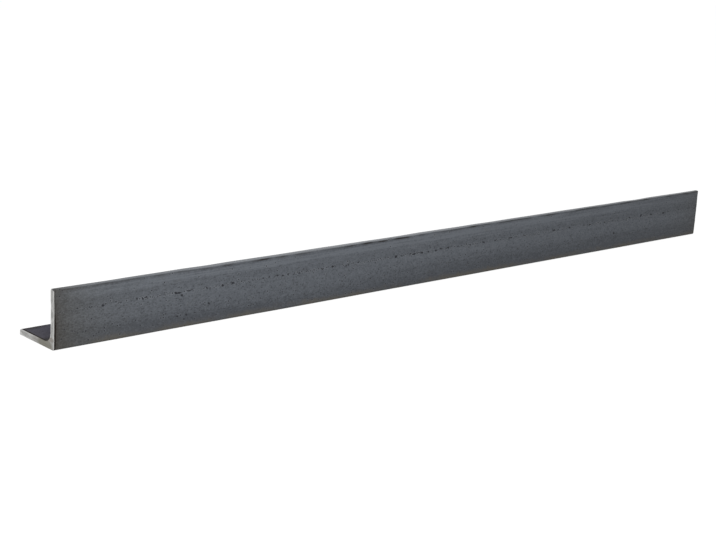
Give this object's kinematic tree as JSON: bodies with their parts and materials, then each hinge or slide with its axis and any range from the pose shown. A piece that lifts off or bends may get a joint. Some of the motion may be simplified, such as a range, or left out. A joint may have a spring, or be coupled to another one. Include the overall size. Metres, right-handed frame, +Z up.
{
  "type": "metal angle section",
  "caption": "Straight length of equal-leg hot-rolled steel angle with square sawn ends, for framing, brackets, edging and supports.",
  "frame": {"origin": "on the floor, under the middle of the piece's outer box", "axes": "+X along the length, +Z up; the lying leg rests on the floor and the standing leg's outer face looks along -Y"},
  "size_m": [0.5, 0.03, 0.03],
  "materials": {
    "mill_scale_steel": "dark blue-grey rolling scale, satin, with brighter bare steel on the two sawn ends"
  },
  "bodies": {
    "root": {"angle_section": "mill_scale_steel"}
  },
  "joints": []
}
